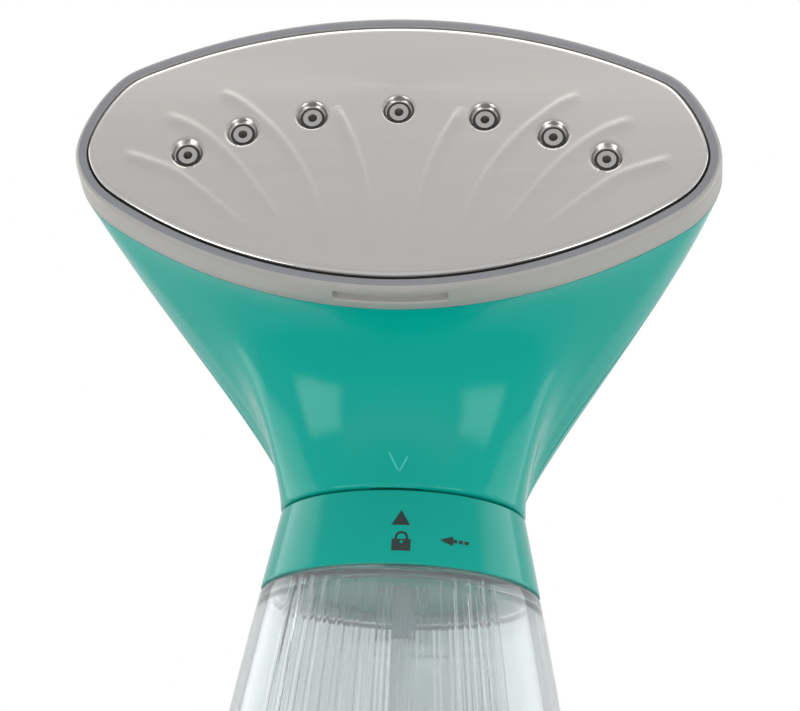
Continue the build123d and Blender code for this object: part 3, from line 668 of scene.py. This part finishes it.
def slot_cutter():
    """Curved bar with a flared edge and the shape of the brush slot, for cutting the rim's underside."""
    stations = slot_stations()
    deep, lip, outside = BEZEL_GROW - SLOT_DEPTH, BEZEL_GROW - SLOT_FLARE, BEZEL_GROW + 1.0
    spread = outside - lip
    profile = [(SLOT_FRONT + spread, outside, spread, -1), (SLOT_BACK - spread, outside, spread, 1),
               (SLOT_BACK, lip, 0, 1), (SLOT_BACK, deep, 0, 1),
               (SLOT_FRONT, deep, 0, -1), (SLOT_FRONT, lip, 0, -1)]
    rows = []
    for n, grow, wider, inward in profile:
        low = [Vector(p) for p in rim_half(grow) if p[1] < 0]
        row = []
        for u, rounded in stations:
            across = u * (1 + wider / SLOT_HALF_WIDTH)
            near = min(low, key=lambda p: abs(p.x - abs(across)))
            row.append(on_face(across, near.y, n + inward * rounded))
        rows.append(row)
    verts, faces = lattice(rows, True, False)
    width = len(stations)
    left_end = tuple(r * width for r in range(len(rows)))
    right_end = tuple(r * width + width - 1 for r in reversed(range(len(rows))))
    return add_object("cutter", closed_mesh("cutter", verts, faces + [left_end, right_end]))


# ---------------------------------------------------------------- tank
TANK_CURVE = smooth_line(TANK_LINE, 20)


def tank_radius(z):
    """Outer radius of the tank wall at a height."""
    for a, b in zip(TANK_CURVE, TANK_CURVE[1:]):
        if a.y >= z >= b.y:
            return a.x + (b.x - a.x) * (a.y - z) / max(a.y - b.y, 1e-9)
    return TANK_LINE[-1][0]


def flute(r, z, angle):
    """Vertical flutes pressed into the front of the wall."""
    a = (angle + math.pi) % (2 * math.pi) - math.pi
    on_outer_wall = FLUTE_LOW <= z <= FLUTE_HIGH and r >= FLUTED_OVER_R
    if abs(a) > FLUTE_HALF_ANGLE or not on_outer_wall:
        return r
    edge = min(1.0, (FLUTE_HALF_ANGLE - abs(a)) / math.radians(1.5))
    ends = min(1.0, (FLUTE_HIGH - z) / 1.2, (z - FLUTE_LOW) / 4.0)
    wave = (a + FLUTE_HALF_ANGLE) / (2 * FLUTE_HALF_ANGLE) * FLUTE_COUNT
    crest = abs(math.sin(math.pi * wave))
    second = 0.35 * abs(math.sin(math.pi * (wave * 3 + 0.35)))
    return r + FLUTE_DEPTH * edge * ends * (crest ** 0.6 + second - 1.0)


def tank_shoulder():
    """(radius, height) rows over the tank's shoulder and mouth, from the outer wall to the inner one."""
    top_r = TANK_LINE[0][0]
    return [(top_r - 0.05, TANK_TOP - 0.35), (top_r - 0.4, TANK_TOP), (MOUTH_OUT_R + 1.2, TANK_TOP),
            (MOUTH_OUT_R + 0.35, TANK_TOP + 0.45), (MOUTH_OUT_R, TANK_TOP + 1.3),
            (MOUTH_OUT_R, MOUTH_TOP - 0.3), (MOUTH_OUT_R - 0.3, MOUTH_TOP),
            (MOUTH_IN_R + 0.3, MOUTH_TOP), (MOUTH_IN_R, MOUTH_TOP - 0.3),
            (MOUTH_IN_R, MOUTH_FOOT + 0.5), (MOUTH_IN_R + 0.5, MOUTH_FOOT - 0.5),
            (MOUTH_IN_R + 1.5, MOUTH_FOOT - 1.6), (MOUTH_IN_R + 2.6, TANK_TOP - 2.1)]


def make_tank():
    """Clear tank with a fluted front, a thick rim and a round mouth."""
    rise = TANK_TOP - 0.8 - TANK_WALL_FOOT
    outer = [(tank_radius(z), z) for z in [TANK_WALL_FOOT + rise * k / 70 for k in range(71)]]
    drop = TANK_TOP - (TANK_WALL_FOOT + 2.9)
    inner = [(tank_radius(z) - TANK_WALL, z) for z in [TANK_TOP - 2.9 - drop * k / 40 for k in range(41)]]
    foot_r = TANK_LINE[-1][0]
    inner_foot_r = foot_r - TANK_WALL
    floor = [(inner_foot_r, TANK_FLOOR + 2.9), (inner_foot_r - 1.2, TANK_FLOOR + 0.8),
             (inner_foot_r - 3, TANK_FLOOR), (0.01, TANK_FLOOR)]
    under = [(0.01, TANK_UNDERSIDE), (41.5, TANK_UNDERSIDE), (43.4, TANK_UNDERSIDE + 1), (foot_r, 9.2)]
    verts, faces = lathe(under + outer + tank_shoulder() + inner + floor, TANK_SEGMENTS, flute)
    make_piece("tank_fluted", verts, faces, "tank", "tank", ("tank_shell",), sharp=70)


# ---------------------------------------------------------------- collar print
COLLAR_LOW = 105.8
COLLAR_HIGH = 123.5
COLLAR_LOW_R = 31.8
COLLAR_TOP_R = 27.9
PRINT_X = 2.0
PRINT_STEPS = 6
PRINT_LIFT = 0.05
ALIGN_TIP = SEAM - 5.5
ALIGN_FOOT = SEAM - 9.05
LOCK_MIDDLE = SEAM - 12.4
LOCK_FOOT = SEAM - 15.2
ARROW_Z = SEAM - 12.0
NECK_MARK_TOP = SEAM + 7.8
NECK_MARK_FOOT = SEAM + 3.4
NECK_STROKE = 0.22


def on_collar(x, z, lift):
    """A flat print's point wrapped onto the collar."""
    share = (z - COLLAR_LOW) / (COLLAR_HIGH - COLLAR_LOW)
    r = COLLAR_LOW_R + (COLLAR_TOP_R - COLLAR_LOW_R) * share + lift
    return (r * math.sin(x / r), -r * math.cos(x / r), z)


def patch_point(corners, s, t):
    """Place inside a four-cornered patch."""
    a, b, c, d = corners
    x = (a[0] * (1 - s) + b[0] * s) * (1 - t) + (d[0] * (1 - s) + c[0] * s) * t
    z = (a[1] * (1 - s) + b[1] * s) * (1 - t) + (d[1] * (1 - s) + c[1] * s) * t
    return x, z


def print_strip(name, patches, wrap=on_collar, look="ink", body="collar"):
    """Thin print made of four-cornered patches, each divided so that it follows the round wall."""
    verts, faces = [], []
    steps, row = PRINT_STEPS, PRINT_STEPS + 1
    edge = [i * row for i in range(steps)] + [steps * row + j for j in range(steps)]
    edge += [(steps - i) * row + steps for i in range(steps)] + [steps - j for j in range(steps)]
    for corners in patches:
        near, far = len(verts), len(verts) + row * row
        for base, lift in ((near, PRINT_LIFT), (far, -PRINT_LIFT)):
            verts += [wrap(*patch_point(corners, i / steps, j / steps), lift)
                      for i in range(row) for j in range(row)]
            for i in range(steps):
                for j in range(steps):
                    k = base + i * row + j
                    patch = (k, k + row, k + row + 1, k + 1)
                    faces.append(patch if base == near else patch[::-1])
        faces += [(near + p, near + q, far + q, far + p) for p, q in zip(edge, edge[1:] + edge[:1])]
    make_piece(name, verts, faces, look, body, sharp=60)


def box_quad(x0, x1, z0, z1):
    """Upright rectangle as a patch."""
    return (x0, z0), (x1, z0), (x1, z1), (x0, z1)


def make_align_mark():
    """Upward triangle on the collar."""
    corners = ((PRINT_X - 2.1, ALIGN_FOOT), (PRINT_X + 2.1, ALIGN_FOOT), (PRINT_X + 0.02, ALIGN_TIP),
               (PRINT_X - 0.02, ALIGN_TIP))
    print_strip("print_align", [corners])


def make_padlock():
    """Padlock on the collar: a body with a keyhole notch and a round shackle."""
    patches = [box_quad(0.2, 4.4, LOCK_FOOT, LOCK_MIDDLE - 1.0),
               box_quad(0.2, 2.0, LOCK_MIDDLE - 1.0, LOCK_MIDDLE),
               box_quad(2.6, 4.4, LOCK_MIDDLE - 1.0, LOCK_MIDDLE),
               box_quad(2.0, 2.6, LOCK_MIDDLE - 0.3, LOCK_MIDDLE)]
    x, z, r_in, r_out = 2.3, LOCK_MIDDLE + 0.4, 0.95, 1.5
    patches += [box_quad(x - r_out, x - r_in, LOCK_MIDDLE, z), box_quad(x + r_in, x + r_out, LOCK_MIDDLE, z)]
    for k in range(8):
        a, b = math.pi * k / 8, math.pi * (k + 1) / 8
        patches.append(tuple((x + r * math.cos(turn), z + r * math.sin(turn))
                             for r, turn in ((r_in, a), (r_out, a), (r_out, b), (r_in, b))))
    print_strip("print_padlock", patches)


def make_arrow():
    """Turn arrow on the collar: a head and a dashed tail."""
    head = ((10.9, ARROW_Z + 0.02), (10.9, ARROW_Z - 0.02), (14.0, ARROW_Z - 1.15), (14.0, ARROW_Z + 1.15))
    dashes = [box_quad(x0, x1, ARROW_Z - 0.42, ARROW_Z + 0.42)
              for x0, x1 in ((14.0, 15.0), (15.4, 16.4), (16.8, 17.9))]
    print_strip("print_arrow", [head] + dashes)


def make_neck_mark():
    """V on the neck, above the align mark."""
    foot = ((1.0 + NECK_STROKE, NECK_MARK_FOOT), (1.0 - NECK_STROKE, NECK_MARK_FOOT))
    strokes = [((x - NECK_STROKE, NECK_MARK_TOP), (x + NECK_STROKE, NECK_MARK_TOP), *foot)
               for x in (-1.3, 3.3)]
    print_strip("neck_mark", strokes, wrap=on_neck, look="teal_mark", body="head")


FRONT_COLUMN = skin_columns(0)[0]


def on_neck(x, z, lift):
    """A point on the front of the neck."""
    below = [p for p in FRONT_COLUMN if p.z <= z][0]
    above = [p for p in FRONT_COLUMN if p.z > z][-1]
    y = below.y + (above.y - below.y) * (z - below.z) / (above.z - below.z)
    r = -y + lift
    return (r * math.sin(x / r), -r * math.cos(x / r), z)


# ---------------------------------------------------------------- looks of the CAD nodes
NODE_LOOKS = {
    "teal": ["lock_collar", "handle_shell", "tank_coupling", "tank_base"],
    "pale": ["handle_grip", "trigger", "power_button", "steam_lock_slider"],
    "nozzle": ["steam_nozzles"],
    "black": ["plate_seal", "nozzle_seals", "base_pad", "button_dome"],
    "cast": ["steam_chamber", "chamber_cover"],
    "screw": ["cover_screws", "handle_screws", "trigger_pin", "trigger_spring"],
    "heater": ["heating_element"],
    "electric": ["thermostat", "thermal_fuse", "microswitch", "pump_body"],
    "copper": ["pump_coil"],
    "silicone": ["inlet_hose", "outlet_hose", "dip_tube", "coupling_seal"],
    "dark": ["cord_gland"],
    "smoke": ["intake_stub", "intake_filter"],
    "board": ["circuit_board"],
    "lens": ["indicator_lens"],
    "grey": ["bezel"],
    "steel": ["steam_plate"],
    "tank": ["tank_shell"],
}


def dress_nodes():
    """Give every CAD node its material, and smooth shading to all but the two housings."""
    for look, names in NODE_LOOKS.items():
        for name in names:
            obj = NODES[name]
            obj.data.materials.clear()
            obj.data.materials.append(MATS[look])
            obj.data.shade_smooth()
            obj.data.set_sharp_from_angle(angle=math.radians(30))
    for name in ("front_housing", "rear_housing"):
        NODES[name].data.materials.clear()
        NODES[name].data.materials.append(MATS["teal"])


# ---------------------------------------------------------------- studio
FLOOR_HALF = 2.0
FLOOR_FADE_FROM = 0.45
FLOOR_FADE_TO = 0.9


def make_camera():
    """Long lens from low in front, slightly to the right."""
    ce, se = math.cos(CAMERA_ELEVATION), math.sin(CAMERA_ELEVATION)
    back = Vector((math.sin(CAMERA_AZIMUTH) * ce, -math.cos(CAMERA_AZIMUTH) * ce, se))
    right = (-back).cross(Vector((0, 0, 1))).normalized()
    up = right.cross(-back)
    rolled_right = right * math.cos(CAMERA_ROLL) + up * math.sin(CAMERA_ROLL)
    rolled_up = up * math.cos(CAMERA_ROLL) - right * math.sin(CAMERA_ROLL)
    data = bpy.data.cameras.new("camera")
    data.lens = LENS_MM
    data.sensor_width = SENSOR_MM
    data.sensor_fit = "HORIZONTAL"
    data.clip_start = 0.01
    cam = add_object("camera", data)
    place = Matrix((rolled_right, rolled_up, back)).transposed().to_4x4()
    place.translation = AIM + back * CAMERA_DISTANCE
    cam.matrix_world = place
    bpy.context.scene.camera = cam


def softbox(name, place, aim, width, height, power):
    """Rectangular area light."""
    data = bpy.data.lights.new(name, "AREA")
    data.shape = "RECTANGLE"
    data.size = width
    data.size_y = height
    data.energy = power
    light = add_object(name, data)
    light.location = place
    light.rotation_euler = (Vector(aim) - Vector(place)).to_track_quat("-Z", "Y").to_euler()
    light.visible_camera = False
    return light


def make_world():
    """White seen directly and through the tank; in gloss brighter behind and above, dark straight below."""
    world = bpy.data.worlds.new("studio")
    world.use_nodes = True
    bpy.context.scene.world = world
    nodes, links = world.node_tree.nodes, world.node_tree.links
    seen = nodes["Background"]
    through, lit, gloss = [nodes.new("ShaderNodeBackground") for _ in range(3)]
    for background, strength in ((seen, 1.0), (through, 0.72), (lit, 0.55), (gloss, 1.0)):
        background.inputs["Color"].default_value = (1, 1, 1, 1)
        background.inputs["Strength"].default_value = strength
    where, split = nodes.new("ShaderNodeTexCoord"), nodes.new("ShaderNodeSeparateXYZ")
    links.new(where.outputs["Generated"], split.inputs["Vector"])
    height, depth = split.outputs["Z"], split.outputs["Y"]
    above = ranged(nodes, links, height, -0.1, 0.95, 0.34, 1.1)
    back = ranged(nodes, links, depth, -0.05, 0.25, 0.0, 0.95)
    low = ranged(nodes, links, height, -0.05, 0.22, 1.0, 0.25)
    not_straight_down = ranged(nodes, links, height, -0.92, -0.6, 0.22, 0.85)
    behind = combined(nodes, links, "MULTIPLY", back, low)
    ahead = combined(nodes, links, "MAXIMUM", above, not_straight_down)
    links.new(combined(nodes, links, "MAXIMUM", ahead, behind), gloss.inputs["Strength"])
    path = nodes.new("ShaderNodeLightPath")
    last = lit.outputs["Background"]
    seen_by = {"Is Glossy Ray": gloss, "Is Transmission Ray": through, "Is Camera Ray": seen}
    for ray, background in seen_by.items():
        mix = nodes.new("ShaderNodeMixShader")
        links.new(path.outputs[ray], mix.inputs["Fac"])
        links.new(last, mix.inputs[1])
        links.new(background.outputs["Background"], mix.inputs[2])
        last = mix.outputs["Shader"]
    links.new(last, nodes["World Output"].inputs["Surface"])


def make_floor():
    """Pale floor that fades out with distance, open from below for the camera, which looks up through it."""
    corners = [(-FLOOR_HALF, -FLOOR_HALF, 0), (FLOOR_HALF, -FLOOR_HALF, 0),
               (FLOOR_HALF, FLOOR_HALF, 0), (-FLOOR_HALF, FLOOR_HALF, 0)]
    mesh = bpy.data.meshes.new("floor")
    mesh.from_pydata(corners, [], [(0, 1, 2, 3)])
    floor = add_object("floor", mesh)
    mat, nodes, links, bsdf = new_material("floor_white")
    here = object_space(nodes, links)
    vary_color(nodes, links, bsdf, noise(nodes, links, here, 3.0), (0.80, 0.80, 0.80), (0.82, 0.82, 0.82))
    bsdf.inputs["Roughness"].default_value = 0.9
    reach = nodes.new("ShaderNodeVectorMath")
    reach.operation = "LENGTH"
    links.new(here, reach.inputs[0])
    far = ranged(nodes, links, reach.outputs["Value"], FLOOR_FADE_FROM, FLOOR_FADE_TO, 0.0, 1.0)
    side = nodes.new("ShaderNodeNewGeometry")
    clear, mix = nodes.new("ShaderNodeBsdfTransparent"), nodes.new("ShaderNodeMixShader")
    links.new(combined(nodes, links, "MAXIMUM", far, side.outputs["Backfacing"]), mix.inputs["Fac"])
    links.new(bsdf.outputs["BSDF"], mix.inputs[1])
    links.new(clear.outputs["BSDF"], mix.inputs[2])
    links.new(mix.outputs["Shader"], nodes["Material Output"].inputs["Surface"])
    mesh.materials.append(mat)
    floor.visible_glossy = False


def make_lights():
    """Side boxes, two low front boxes, a large one overhead and a fill from the floor in front."""
    middle = (0, 0, 0.15)
    neck = (0, -0.03, 0.142)
    softbox("left_box", (-0.95, 0.25, 0.20), middle, 0.9, 1.1, 6.0)
    softbox("right_box", (0.95, 0.25, 0.20), middle, 0.9, 1.1, 6.0)
    softbox("low_left_box", (-0.40, -0.36, -0.19), neck, 0.32, 0.22, 1.7)
    softbox("low_right_box", (0.38, -0.38, -0.21), neck, 0.32, 0.22, 1.2)
    softbox("top_box", (0, -0.4, 1.2), middle, 1.0, 0.8, 4.0)
    fill = softbox("floor_fill", (0, -0.30, 0.004), (0, -0.10, 0.3), 0.5, 0.22, 1.2)
    fill.visible_glossy = False


make_camera()
make_world()
make_lights()
make_floor()
dress_nodes()
make_plate()
make_seal()
parting = column_near(EDGE_POINTS[2])
make_housing("front_housing_skin", "front_housing", 0, parting)
make_housing("rear_housing_skin", "rear_housing", parting, OUTLINE_STEPS)
make_bezel()
make_tank()
make_align_mark()
make_padlock()
make_arrow()
make_neck_mark()
bpy.context.scene.view_settings.view_transform = "Standard"
